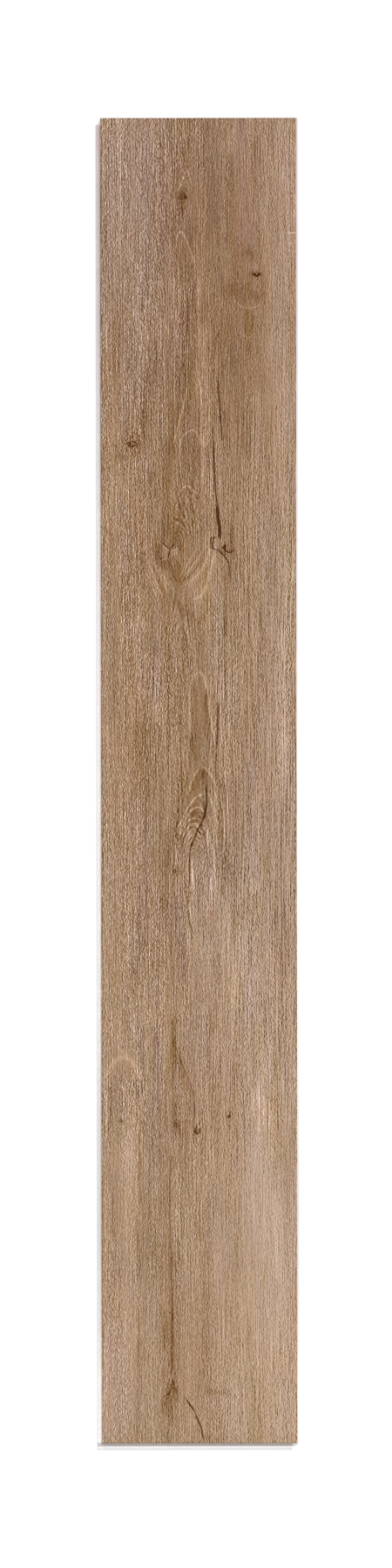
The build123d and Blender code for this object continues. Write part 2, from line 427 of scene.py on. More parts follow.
# Soft strokes of the brush, a list for each hue, from the top of the photograph down: (half width in pixels,
# strength in 255ths, x and y of each point). A hue is the change of red, green and blue at a strength of 1.
DARK = (-1.0, -1.04, -1.04)
DARK_STROKES = [
    (5, 8, 291, 165, 292, 215), (5, 14, 265, 185, 264, 230, 261, 275), (5, 7, 202, 262, 210, 310),
    (2.5, 8, 268, 324, 272, 338), (2, 9, 287, 337, 294, 344, 300, 342), (1.5, 12, 290, 338, 297, 341),
    (4, 7, 141, 345, 147, 420), (9, 10, 268, 380, 271, 414), (5, 7, 252, 385, 254, 430),
    (1.7, 32, 134, 511.5, 134.3, 518), (4, 8, 176, 540, 172, 600), (3, 16, 204, 627, 207, 630),
    (4, 7, 133, 795, 134, 850), (5, 13, 253, 900, 256, 1000), (5, 8, 268, 900, 270, 960),
    (12, 10, 266, 985, 270, 1008), (10, 5, 195, 1045, 195, 1085), (4, 10, 155, 1050, 157, 1058),
    (6, 9, 183, 1050, 182, 1110), (6, 11, 322, 1050, 327, 1130), (4, 10, 153, 1107, 155, 1136),
    (5, 6, 274, 1180, 270, 1240), (6, 6, 124, 1203, 126, 1246), (5, 7, 331, 1214, 331, 1362),
    (6, 6, 263, 1226, 265, 1352), (8, 8, 243, 1235, 246, 1270), (14, 9, 142, 1244, 140, 1266),
    (9, 6, 195, 1245, 193, 1285), (1.4, 12, 127.5, 1270, 127.5, 1298), (5, 9, 247, 1285, 246, 1325),
    (4, 9, 160, 1330, 161, 1450), (2, 10, 158, 1395, 158.5, 1480), (5, 8, 160, 1550, 160, 1650),
    (2, 9, 158, 1560, 157.5, 1650),
]
BROWN = (-0.85, -1.0, -1.12)
BROWN_STROKES = [
    (5, 18, 209, 228, 209, 240), (2.5, 12, 209, 238, 209.5, 250),
    (8, 9, 291, 272, 300, 330, 299, 380, 288, 430), (3, 16, 280, 287, 282, 291),
    (3, 12, 284, 288, 289, 293), (3.5, 18, 287, 290, 290, 296), (8, 9, 273, 290, 277, 345),
    (13, 6, 274, 318, 280, 334), (3, 9, 254, 318, 256, 338), (6, 7, 298, 326, 300, 340),
    (3.5, 9, 262, 326, 270, 336), (6, 10, 262, 328, 265, 335), (9, 8, 128, 345, 130, 420),
    (4, 7, 216, 355, 216, 405), (4, 7, 259, 370, 261, 415), (6, 6, 283, 400, 300, 440),
    (10, 9, 270, 420, 274, 495), (4, 6, 261, 462, 263, 520), (6, 14, 222, 502, 220, 540),
    (5, 9, 282, 505, 285, 545), (1.7, 26, 126.8, 523, 127.4, 526), (1.7, 26, 134.4, 523.5, 140.2, 526.5),
    (4, 9, 160, 527, 161, 547), (7, 8, 215, 565, 208, 590, 203, 612), (8, 9, 192, 606, 197, 618),
    (7, 12, 262, 612, 266, 645), (10, 9, 184, 628, 184, 640),
    (1.3, 8, 230.5, 629, 224, 640, 216, 652, 211, 661), (4.5, 15, 181, 630, 182, 638),
    (1.5, 10, 236.5, 631, 230, 644, 222, 655, 216, 663),
    (1.5, 10, 243.5, 634, 239, 650, 231, 663, 222, 671), (7, 12, 163, 636, 168, 665),
    (2.5, 16, 185, 645, 193, 648), (4, 8, 190, 647, 203, 648), (6, 9, 199, 652, 203, 668),
    (5, 6, 312, 655, 312, 690), (4, 12, 199, 658, 205, 656), (3, 12, 198, 661, 204, 664),
    (2, 14, 208, 662, 216, 664), (1.6, 11, 184, 674, 189, 684, 194, 694),
    (2.2, 13, 196, 680, 202, 692, 210, 704), (1.8, 14, 203, 686, 206, 694, 209, 702),
    (5, 13, 215, 702, 221, 712, 228, 716), (5, 7, 144, 702, 146, 736), (4, 9, 230, 735, 231, 770),
    (5, 8, 304, 735, 304, 805), (4, 9, 211, 740, 212, 800), (7, 15, 226, 788, 226, 825, 226, 866),
    (9, 6, 215, 795, 215, 835), (3, 10, 237, 800, 239, 830, 242, 866), (5, 12, 236, 800, 237, 840),
    (10, 5, 162, 815, 164, 865), (3, 8, 206, 815, 209, 850), (2, 10, 219, 845, 218, 885),
    (4, 9, 233, 891, 234, 902), (10, 6, 283, 895, 283, 935),
    (3, 14, 216, 914, 222, 897, 231, 887, 239, 893, 243, 903), (3, 16, 231, 918, 224, 921, 217, 929),
    (4, 11, 233, 925, 233, 955), (2, 14, 236, 935, 238, 948), (3, 21, 219, 936, 224, 932, 230, 933),
    (2.5, 14, 217, 939, 212, 949), (4, 8, 212, 945, 211, 983), (1.2, 13, 211, 952, 217, 944, 225, 942.5),
    (7, 14, 203, 955, 195, 990), (1.2, 12, 213, 957, 219, 950, 225, 949), (6, 9, 190, 960, 186, 1030),
    (10, 6, 173, 995, 173, 1035), (10, 6, 305, 995, 305, 1035), (4, 11, 245, 1050, 246, 1180),
    (4, 8, 206, 1212, 209, 1238), (5, 17, 206, 1222, 212, 1240, 219, 1260, 220, 1286),
    (15, 7, 270, 1250, 272, 1285), (6.5, 18, 203, 1274, 204, 1296), (1.3, 10, 167.7, 1284, 167.7, 1310),
    (1.6, 18, 137, 1285.8, 141.5, 1287.5), (3, 12, 203, 1291, 204, 1299), (1.5, 10, 201, 1291, 206, 1297),
    (1.3, 14, 134.4, 1298, 134.4, 1311), (6, 15, 211, 1302, 213, 1345), (5, 8, 189, 1320, 191, 1370),
    (2.5, 7, 196, 1330, 194.5, 1390, 195.5, 1440), (9, 6, 327, 1345, 327, 1385),
    (4, 8, 209, 1362, 209, 1440, 208, 1516), (4, 8, 226, 1370, 229, 1420), (5, 8, 271, 1380, 272, 1470),
    (10, 5, 261, 1395, 261, 1435), (10, 5, 173, 1395, 173, 1435),
    (10, 8, 193, 1440, 192, 1500, 194, 1590), (5, 11, 236, 1440, 235, 1510, 233, 1590),
    (5, 9, 197, 1445, 200, 1500, 198, 1580), (2.8, 15, 196, 1450, 197.2, 1510, 196.5, 1575),
    (10, 5, 239, 1495, 239, 1535), (5, 6, 273, 1500, 273, 1540), (4, 6, 206, 1518, 205, 1576),
    (5, 8, 187, 1530, 187, 1616), (3, 11, 199, 1590, 197, 1635), (5, 7, 240, 1590, 242, 1650),
    (2, 16, 192, 1592, 188, 1612), (1.8, 14, 203, 1600, 204, 1604), (2, 18, 190.5, 1608, 191, 1622),
]
OLIVE = (-0.95, -1.0, -1.3)
OLIVE_STROKES = [
    (7, 5, 167, 186, 168, 232), (5, 10, 286, 318, 285, 336), (10, 6, 283, 345, 284, 385),
    (2, 17, 283, 356, 283, 381), (5, 9, 286, 358, 286, 381), (2, 16, 291, 364, 288.5, 379),
    (1.4, 12, 287.5, 392, 287, 407), (1.6, 13, 283, 393, 282.5, 406), (8, 10, 177, 410, 166, 490),
    (6, 14, 214, 425, 216, 470), (5, 15, 282, 445, 282, 512), (7, 10, 165, 470, 158, 515),
    (5, 10, 199, 470, 197, 515), (5, 14, 191, 515, 190, 615), (8, 8, 204, 600, 203, 612),
    (2, 16, 203, 645, 204, 652), (2, 10, 188, 650, 193, 652), (2.2, 12, 239, 684, 237, 700, 230, 712),
    (6, 12, 193, 730, 194, 790), (6, 8, 178, 838, 180, 882), (9, 7, 163, 845, 166, 895),
    (10, 6, 173, 845, 173, 935), (5, 13, 219, 850, 211, 895), (5, 17, 231, 888, 227, 895, 224, 904),
    (5, 15, 211, 897, 204, 955), (4, 6, 270, 1020, 270, 1050),
    (3.5, 22, 198.5, 1172, 199.5, 1190, 200.5, 1212), (5, 9, 318, 1190, 316, 1265),
    (4, 10, 199, 1200, 198.5, 1247), (4, 10, 201, 1268, 203, 1294), (5, 10, 318, 1270, 321, 1325),
    (6, 12, 190, 1512, 190, 1535), (8, 13, 294, 1590, 295, 1655), (5, 12, 196, 1592, 191, 1612),
    (2, 20, 237, 1598.5, 262, 1599.5), (3, 10, 199, 1600, 202, 1612), (4, 14, 193, 1612, 192, 1655),
]
LIGHT = (1.0, 1.0, 1.0)
LIGHT_STROKES = [
    (9, 5, 328, 145, 327, 235), (4, 12, 215, 230, 213, 250), (10, 6, 152, 245, 151, 285),
    (5, 10, 227, 285, 227, 350), (10, 6, 327, 295, 327, 335), (10, 7, 239, 300, 239, 385),
    (4, 9, 259, 317, 260, 322), (6, 10, 232, 380, 236, 440, 240, 500), (5, 10, 226, 380, 226, 460),
    (10, 6, 327, 395, 327, 435), (11, 9, 327, 455, 326, 540, 328, 630, 327, 715),
    (10, 6, 129, 495, 129, 585), (4, 12, 232, 508, 232, 574), (1.6, 12, 141, 513.5, 141, 517),
    (10, 7, 239, 550, 238, 635), (5, 7, 236, 555, 241, 640), (10, 6, 283, 595, 283, 635),
    (4, 5, 236, 628, 226, 645, 212, 660), (4, 6, 243, 640, 236, 655, 220, 668),
    (4, 7, 246, 650, 240, 672, 226, 688), (4, 10, 335, 658, 335, 724),
    (2.5, 9, 243, 703, 238, 711, 233, 718), (7, 14, 328, 740, 327, 850), (10, 8, 306, 745, 305, 785),
    (10, 6, 327, 745, 327, 785), (4, 6, 122, 755, 122, 841), (6, 10, 180, 766, 180, 770),
    (10, 6, 261, 795, 261, 835), (7, 10, 180, 808, 181, 818), (5, 10, 257, 840, 257, 886),
    (10, 6, 327, 845, 327, 885), (10, 6, 129, 850, 129, 885), (2.2, 9, 121.0, 890, 121.2, 1540),
    (10, 6, 129, 995, 129, 1085), (7, 11, 220, 1000, 227, 1090), (8, 12, 272, 1022, 290, 1020),
    (10, 6, 261, 1045, 261, 1085), (6, 10, 262, 1050, 269, 1140), (5, 7, 237, 1091, 238, 1152),
    (10, 7, 283, 1095, 282, 1135), (10, 6, 129, 1145, 129, 1185), (11, 7, 260, 1150, 262, 1235),
    (11, 7, 152, 1245, 151, 1320, 151, 1385), (1.4, 15, 291.5, 1252, 291.5, 1282),
    (15, -8, 177, 1290, 177, 1480), (12, 8, 300, 1330, 305, 1390), (7, 9, 317, 1385, 318, 1455),
    (1.5, 10, 318, 1418, 318.5, 1470), (2.2, 9, 337.8, 1520, 338.2, 1650),
    (2.2, 16, 121.4, 1550, 121.6, 1650), (15, 6, 270, 1595, 272, 1635),
]
TAN = (1.0, 0.95, 0.8)
TAN_STROKES = [
    (2.4, 15, 188, 626, 189, 634), (2.2, 13, 199.5, 628, 201, 635), (10, 10, 228, 668, 234, 690),
    (1.6, 9, 229, 800, 230, 850), (8, 5, 135, 1110, 136, 1190),
    (4, 12, 122, 1236, 130, 1221, 141, 1214, 151, 1220, 160, 1238), (14, 8, 142, 1330, 142, 1420),
    (6, 7, 220, 1560, 219, 1640),
]
LILAC = (0.8, 0.75, 1.2)
LILAC_STROKES = [
    (8, 6, 228, 150, 228, 240), (5, 6, 320, 150, 324, 200), (6, 12, 330, 180, 333, 280),
    (7, 10, 193, 285, 197, 340, 203, 395), (5, 6, 231, 305, 234, 400, 236, 500),
    (5, 7, 311, 375, 312, 402), (6, 9, 221, 468, 221, 510), (4, 8, 243, 520, 236, 600),
    (3, 14, 251, 552, 254, 590), (2.5, 16, 248.5, 620, 247.5, 627), (4, 9, 219, 676, 223, 690),
    (5, 8, 160, 715, 164, 795), (5, 9, 243, 740, 250, 800, 252, 850), (5, 8, 236, 970, 236, 1040),
    (5, 12, 244, 1004, 244, 1040), (5, 7, 129, 1056, 129, 1100), (4, 10, 310, 1203, 310, 1238),
    (4, 12, 296, 1243, 296, 1263), (1.4, 11, 296.5, 1243, 297, 1272), (1.3, 11, 302.5, 1256, 303, 1300),
    (1.5, 14, 297.5, 1284, 297.5, 1312), (8, 7, 148, 1285, 147, 1340),
    (6, 5, 256, 1420, 250, 1510, 257, 1600), (1.5, 7, 250, 1442, 251, 1500),
    (10, 8, 146, 1480, 146, 1620), (1.5, 6, 256, 1480, 256.5, 1545), (6, 6, 126, 1530, 126, 1652),
    (11, 9, 129, 1545, 129, 1640),
]
SLATE = (-1.0, -0.9, -0.35)
SLATE_STROKES = [
    (7, 9, 243, 150, 244, 250), (6, 5, 212, 190, 214, 280), (5, 7, 187, 218, 189, 265),
    (5, 8, 231, 520, 229, 560), (5, 6, 298, 575, 300, 660), (5, 6, 142, 585, 146, 660),
    (9, 4, 146, 630, 178, 655), (7, 11, 178, 745, 178, 790), (5, 8, 283, 820, 288, 890),
    (6, 8, 166, 920, 160, 1100), (8, 5, 324, 934, 324, 1012), (6, 10, 203, 1040, 210, 1120),
    (6, 8, 163, 1180, 160, 1250), (6, 9, 180, 1190, 180, 1260), (5, 6, 180, 1192, 181, 1264),
    (10, 6, 305, 1345, 305, 1385), (8, 9, 134, 1360, 136, 1460),
]
RUST = (-0.3, -0.7, -1.2)
RUST_STROKES = [
    (5, 5, 293, 180, 297, 280), (3.5, 10, 304, 322, 304, 340), (9, 5, 261, 345, 261, 385),
    (9, 5, 126, 420, 125, 500), (2.5, 12, 118.5, 508, 119, 523), (6, 7, 163, 560, 161, 625),
    (4, 8, 215, 605, 207, 665), (7, 9, 186, 670, 192, 720), (10, 4, 151, 845, 151, 885),
    (1.8, 18, 250.5, 933, 252.5, 945, 252, 960), (5, 6, 137, 1060, 138, 1120),
]
SKY = (0.2, 0.4, 1.1)
SKY_STROKES = [
    (8, 8, 287, 890, 293, 1010), (1.1, 8, 220.5, 985, 220.8, 1004), (1.3, 10, 243.5, 1003, 243, 1032),
    (1.2, 10, 220, 1004, 219, 1020), (8, 9, 285, 1080, 287, 1170), (10, 5, 129, 1195, 129, 1235),
    (7, 8, 288, 1310, 294, 1420),
]
PLUM = (-0.7, -1.0, 0.4)
PLUM_STROKES = [
    (7, 6, 276, 142, 278, 218), (10, 5, 283, 245, 283, 285),
]
SOFT_STROKES = [
    (DARK, DARK_STROKES), (BROWN, BROWN_STROKES), (OLIVE, OLIVE_STROKES), (LIGHT, LIGHT_STROKES),
    (TAN, TAN_STROKES), (LILAC, LILAC_STROKES), (SLATE, SLATE_STROKES), (RUST, RUST_STROKES),
    (SKY, SKY_STROKES), (PLUM, PLUM_STROKES),
]


def on_face(px, py):
    """Place on the face, in millimetres, of a pixel of the photograph."""
    x = (px - PHOTO_MIDDLE[0] - PHOTO_LEAN * (py - PHOTO_TOP)) * PIXEL
    y = (PHOTO_MIDDLE[1] - py) * PIXEL
    return x, y


def oval(x, y, middle, half_width, half_length):
    """Strength, 0 to 1, of a soft oval area given in pixels of the photograph."""
    cx, cy = on_face(*middle)
    return np.exp(-(((x - cx) / (half_width * PIXEL)) ** 2) - ((y - cy) / (half_length * PIXEL)) ** 2)


def smooth_path(numbers, steps=8):
    """The path's points on the face, from the x and y of each pixel, with a smooth curve between them."""
    p = np.array([on_face(*q) for q in zip(numbers[::2], numbers[1::2])], float)
    p = np.vstack([2 * p[0] - p[1], p, 2 * p[-1] - p[-2]])
    t = np.linspace(0, 1, steps, endpoint=False)[:, None]
    runs = []
    for a, b, c, d in zip(p[:-3], p[1:-2], p[2:-1], p[3:]):
        runs.append(
            0.5 * (2 * b + (c - a) * t + (2 * a - 5 * b + 4 * c - d) * t**2 + (3 * b - a - 3 * c + d) * t**3)
        )
    return np.vstack(runs + [p[-2:-1]])


def near_path(path, x, y, reach):
    """Numbers of the points that lie in the path's box or within reach of it."""
    low = path.min(0) - reach
    high = path.max(0) + reach
    return np.nonzero((x > low[0]) & (x < high[0]) & (y > low[1]) & (y < high[1]))[0]


def segments(path, x, y):
    """For each piece of the path: its run, the share of it nearest to each point, and the offset."""
    for (ax, ay), (bx, by) in zip(path[:-1], np.diff(path, axis=0)):
        t = np.clip(((x - ax) * bx + (y - ay) * by) / (bx * bx + by * by), 0, 1)
        yield bx, by, t, x - ax - t * bx, y - ay - t * by


def stroke_field(strokes, x, y, reach=4.0):
    """For each point, the signed distance to the nearest stroke, in half widths of it, and its strength."""
    nearest = np.full(x.shape, 1e3)
    signed = np.full(x.shape, 40.0)
    strength = np.zeros(x.shape)
    for width, depth, *numbers in strokes:
        path = smooth_path(numbers)
        lengths = np.hypot(*np.diff(path, axis=0).T)
        along = np.concatenate([[0], np.cumsum(lengths)])
        near = near_path(path, x, y, reach)
        for k, (bx, by, t, dx, dy) in enumerate(segments(path, x[near], y[near])):
            d = np.hypot(dx, dy)
            to_end = np.minimum(along[k] + t * lengths[k], along[-1] - along[k] - t * lengths[k])
            half = STROKE_HALF * width * np.clip(STROKE_TIP + to_end / STROKE_TAPER, 0, 1)
            closer = d < nearest[near]
            hit = near[closer]
            nearest[hit] = d[closer]
            side = np.sign(bx * dy - by * dx)
            signed[hit] = (side * d / half)[closer]
            strength[hit] = depth
    return signed, strength * np.clip((reach - nearest) / (0.4 * reach), 0, 1)


def brush(x, y, half_width, numbers):
    """Strength, 0 to 1, of a soft stroke along a path given in pixels of the photograph."""
    path = smooth_path(numbers)
    half = half_width * PIXEL
    near = near_path(path, x, y, 3 * half)
    best = np.full(len(near), 1e6)
    for _, _, _, dx, dy in segments(path, x[near], y[near]):
        best = np.minimum(best, dx**2 + (dy / 2.0) ** 2)
    strength = np.zeros(x.shape)
    strength[near] = np.exp(-best / half**2)
    return strength


def soft_noise(x, y, across, along, seed):
    """Smooth random field, about -1 to 1, with cells of the given size in millimetres."""
    lattice = np.random.default_rng(seed).uniform(-1, 1, (int(1300 / along) + 4, int(200 / across) + 4))
    gx = (x + 100) / across
    gy = (y + 650) / along
    i = np.floor(gx).astype(int)
    j = np.floor(gy).astype(int)
    s = gx - i
    t = gy - j
    s = s * s * (3 - 2 * s)
    t = t * t * (3 - 2 * t)
    low = lattice[j, i] * (1 - s) + lattice[j, i + 1] * s
    high = lattice[j + 1, i] * (1 - s) + lattice[j + 1, i + 1] * s
    return low * (1 - t) + high * t


def spaced(low, high, count, dense, closer, blend=80):
    """Grid positions from low to high, so many times closer together inside the dense spans."""
    fine = np.linspace(low, high, 8001)
    weight = np.ones_like(fine)
    for start, end in dense:
        weight = np.maximum(weight, np.where((fine > start) & (fine < end), closer, 1.0))
    kernel = np.hanning(2 * blend + 1)
    weight = np.convolve(np.pad(weight, blend, mode="edge"), kernel / kernel.sum(), mode="valid")
    total = np.concatenate([[0], np.cumsum((weight[1:] + weight[:-1]) / 2)])
    return np.interp(np.linspace(0, total[-1], count), total, fine)


def knot_field(x, y):
    """For each point, the distance to the nearest knot, in half sizes of it, and its depth and lightness."""
    nearest = np.full(x.shape, 9.0)
    depth = np.zeros(x.shape)
    heart = np.zeros(x.shape)
    for middle, half_width, half_height, tilt, dark, light in KNOTS:
        cx, cy = on_face(*middle)
        c = math.cos(math.radians(-tilt))
        s = math.sin(math.radians(-tilt))
        dx = x - cx
        dy = y - cy
        r = np.hypot((c * dx + s * dy) / (half_width * PIXEL), (c * dy - s * dx) / (half_height * PIXEL))
        hit = r < nearest
        nearest[hit] = r[hit]
        depth[hit] = dark
        heart[hit] = light
    return nearest, depth, heart


def from_eye(x, y, middle, lean, upward):
    """Distances from an eye's foot: across its middle line, along it, and along it on the arches' side."""
    cx, cy = on_face(*middle)
    along = y - cy
    return x - cx + lean * along, along, np.maximum(upward * along, 0)


def grain_flow(x, y):
    """Coordinates that run across and along the grain, which bends round the knots."""
    u = x + 1.6 * soft_noise(x, y, 45, 160, 11) + 0.2 * soft_noise(x, y, 14, 90, 12)
    v = y + 3.0 * soft_noise(x, y, 20, 90, 13)
    for middle, half_width, half_height, *_ in KNOTS:
        cx, _ = on_face(*middle)
        u = u - 0.45 * (x - cx) * oval(x, y, middle, 2.2 * half_width, 4.5 * half_height)
    for middle, lean, width, half_width, half_length, upward, _ in EYES:
        across, along, rise = from_eye(x, y, middle, lean, upward)
        arched = np.sign(across) * np.sqrt(across**2 + width**2 * PIXEL * rise)
        near = np.exp(-((across / (half_width * PIXEL)) ** 2) - (rise / (half_length * PIXEL)) ** 2)
        near = near * (1 - np.exp(-(across**2 + along**2) / (0.6 * half_width * PIXEL) ** 2))
        u = u + near * (arched - across)
    return u, v


def ring_lines(x, y):
    """For each point, how far out it lies on the arches of its eye, and how plainly their ring lines show."""
    level = np.zeros(x.shape)
    shown = np.zeros(x.shape)
    for middle, lean, width, half_width, half_length, upward, plain in EYES:
        across, _, rise = from_eye(x, y, middle, lean, upward)
        near = np.exp(-((across / (half_width * PIXEL)) ** 2) - (rise / (0.5 * half_length * PIXEL)) ** 2)
        near = plain * near * np.clip(rise / RING_START, 0, 1)
        level = np.where(near > shown, np.sqrt(across**2 + width**2 * PIXEL * rise), level)
        shown = np.maximum(near, shown)
    return level, shown


def face_grid():
    """Vertex places, faces and number of face quads of the vinyl layer: a fine grid with a bevelled rim."""
    inner_x = HALF_WIDTH - BEVEL
    inner_y = HALF_LENGTH - BEVEL
    dense_x = [(on_face(a, 900)[0], on_face(b, 900)[0]) for a, b in DENSE_COLUMNS]
    dense_y = [(on_face(0, b)[1], on_face(0, a)[1]) for a, b in DENSE_ROWS]
    edge = np.array(EDGE_LINES)
    xs = spaced(-inner_x + EDGE_BAND, inner_x - EDGE_BAND, GRID_COLUMNS, dense_x, COLUMNS_CLOSER)
    ys = spaced(-inner_y + EDGE_BAND, inner_y - EDGE_BAND, GRID_ROWS, dense_y, ROWS_CLOSER)
    xs = np.concatenate([-inner_x + edge, xs, (inner_x - edge)[::-1]])
    ys = np.concatenate([-inner_y + edge, ys, (inner_y - edge)[::-1]])
    nx = len(xs)
    ny = len(ys)
    gx, gy = np.meshgrid(xs, ys)
    index = np.arange(nx * ny).reshape(ny, nx)
    quads = np.stack([index[:-1, :-1], index[:-1, 1:], index[1:, 1:], index[1:, :-1]], -1).reshape(-1, 4)
    rim = np.concatenate([index[0, :-1], index[:-1, -1], index[-1, :0:-1], index[:0:-1, 0]])
    flat_x = gx.ravel()
    flat_y = gy.ravel()
    places = [np.stack([flat_x, flat_y, np.full(nx * ny, FACE_LEVEL)], -1)]
    faces = quads.tolist()
    loop = rim
    count = nx * ny
    rim_x = flat_x[rim]
    rim_y = flat_y[rim]
    edge_x = np.where(np.abs(rim_x) > inner_x - TINY, np.sign(rim_x), 0)
    edge_y = np.where(np.abs(rim_y) > inner_y - TINY, np.sign(rim_y), 0)
    for out, level in BEVEL_RINGS:
        places.append(np.stack([rim_x + edge_x * out, rim_y + edge_y * out, np.full(len(rim), level)], -1))
        new_loop = np.arange(count, count + len(rim))
        count += len(rim)
        faces += np.stack([np.roll(loop, -1), loop, new_loop, np.roll(new_loop, -1)], -1).tolist()
        loop = new_loop
    faces.append(loop[::-1].tolist())
    return np.vstack(places), faces, len(quads)


def print_colour(x, y, knot, knot_depth):
    """The print's smooth colour, in 255ths as shown on a screen."""
    colour = np.tile(np.array(BASE_COLOUR, float), (len(x), 1))
    for middle, half_width, half_length, change in PATCHES:
        colour += np.outer(oval(x, y, middle, half_width, half_length), change)
    worn = 1 + 0.35 * soft_noise(x, y, 2.5, 12, 24)
    for hue, strokes in SOFT_STROKES:
        for half_width, strength, *numbers in strokes:
            colour += np.outer(strength * brush(x, y, half_width, numbers) * worn, hue)
    tone = soft_noise(x, y, 9, 110, 21) + 0.8 * soft_noise(x, y, 4.5, 60, 22)
    tone += 0.6 * soft_noise(x, y, 22, 50, 23)
    warmth = soft_noise(x, y, 3.5, 38, 25) + 0.7 * soft_noise(x, y, 9, 80, 26)
    colour += 1.1 * tone[:, None] + 2.5 * np.outer(warmth, (0.5, -0.1, -1.2))
    colour += 1.5 * np.outer(soft_noise(x, y, 4, 12, 27), (-0.3, 0.6, -0.3))
    halo = knot_depth * np.exp(-((knot / HALO_REACH) ** 2))
    return colour + np.outer(halo, HALO_COLOUR)


def rim_shade(x, y):
    """Depth of the dark line along the face's rim, in 255ths: partly the bevel's own darker colour, partly
    painted shade.
    """
    across = {"left": HALF_WIDTH + x, "right": HALF_WIDTH - x}
    along = {"near": HALF_LENGTH + y, "far": HALF_LENGTH - y}
    shade = np.zeros(x.shape)
    for side, distance in (across | along).items():
        inward = np.maximum(distance - BEVEL, 0)
        shade = np.maximum(shade, EDGE_DEPTH[side] * np.exp(-((inward / EDGE_REACH) ** 2)))
    return shade


def grain_shares(x, y):
    """For each point, the grain's contrast, its share of long streaks, and how plainly its pores show."""
    side = x / HALF_WIDTH
    low_end = np.clip(-y / HALF_LENGTH, 0, 1)
    long_streaks = 0.95 + 0.2 * side - 0.75 * oval(x, y, *SWIRL) - 0.25 * low_end
    pores = 0.7 * np.clip(0.4 + 0.8 * side - 0.3 * y / HALF_LENGTH, 0, 1)
    contrast = (1.0 - 0.15 * low_end) * (1 + 0.28 * soft_noise(x, y, 8, 100, 41))
    for middle, lean, _, _, half_length, upward, _ in EYES:
        across, _, rise = from_eye(x, y, middle, lean, upward)
        seam = np.exp(-((across / SEAM_WIDTH) ** 2) - (rise / (half_length * PIXEL)) ** 2) * (rise > 0)
        contrast = contrast * (1 - 0.8 * seam)
    for middle, half_width, half_length, share in CALM:
        contrast = contrast * (1 - share * oval(x, y, middle, half_width, half_length))
    return contrast, long_streaks, pores


def store(mesh, name, *values):
    """Adds one vector for each vertex to the mesh, from three values for each."""
    attribute = mesh.attributes.new(name, "FLOAT_VECTOR", "POINT")
    attribute.data.foreach_set("vector", np.stack(values, -1).astype(np.float32).ravel())


def build_vinyl():
    """The embossed and printed vinyl layer, with the fields that its material reads."""
    places, faces, face_quads = face_grid()
    x = places[:, 0].copy()
    y = places[:, 1].copy()
    u, v = grain_flow(x, y)
    ring, ring_shown = ring_lines(x, y)
    knot, knot_depth, knot_heart = knot_field(x, y)
    crack, crack_depth = stroke_field(CRACKS, x, y)
    arch_a, arch_a_depth = stroke_field(ARCHES[::2], x, y)
    arch_b, arch_b_depth = stroke_field(ARCHES[1::2], x, y)

    on_top = places[:, 2] > FACE_LEVEL - TINY
    inset = np.minimum(HALF_WIDTH - np.abs(x), HALF_LENGTH - np.abs(y)) - BEVEL
    groove = GROOVE_DEPTH * crack_depth * np.clip(1.8 - np.abs(crack), 0, 1)
    pores = PORE_DEPTH * np.clip(soft_noise(u, v, 1.6, 14, 31) - 0.25, 0, 1)
    waves = WAVE_DEPTH * (soft_noise(u, v, 4, 30, 32) + 1)
    pit = PIT_DEPTH * knot_depth * np.clip(1.2 - knot, 0, 1)
    relief = np.clip(groove + pores + waves + pit, 0, RELIEF_LIMIT) * np.clip(inset / RELIEF_FADE, 0, 1)
    places[:, 2] -= np.where(on_top, relief, 0)

    mesh = bpy.data.meshes.new("vinyl_print")
    mesh.from_pydata((places * MM).tolist(), [], faces)
    smooth = np.zeros(len(faces), bool)
    smooth[:face_quads] = True
    mesh.polygons.foreach_set("use_smooth", smooth)

    # The rim's dark line, partly painted shade, is taken off the print's colour
    colour = print_colour(x, y, knot, knot_depth) - np.outer(rim_shade(x, y), EDGE_SHADE)
    nothing = np.zeros_like(x)
    store(mesh, "print_colour", *(colour.T / 255))
    store(mesh, "grain", u, v, nothing)
    store(mesh, "rings", ring, ring_shown, nothing)
    store(mesh, "knots", knot, knot_depth, knot_heart)
    store(mesh, "strokes", crack, arch_a, arch_b)
    store(mesh, "stroke_depths", crack_depth, arch_a_depth, arch_b_depth)
    store(mesh, "streaks", *grain_shares(x, y))
    mesh.update()
    piece = bpy.data.objects.new("vinyl_top_print", mesh)
    bpy.context.scene.collection.objects.link(piece)
    return piece


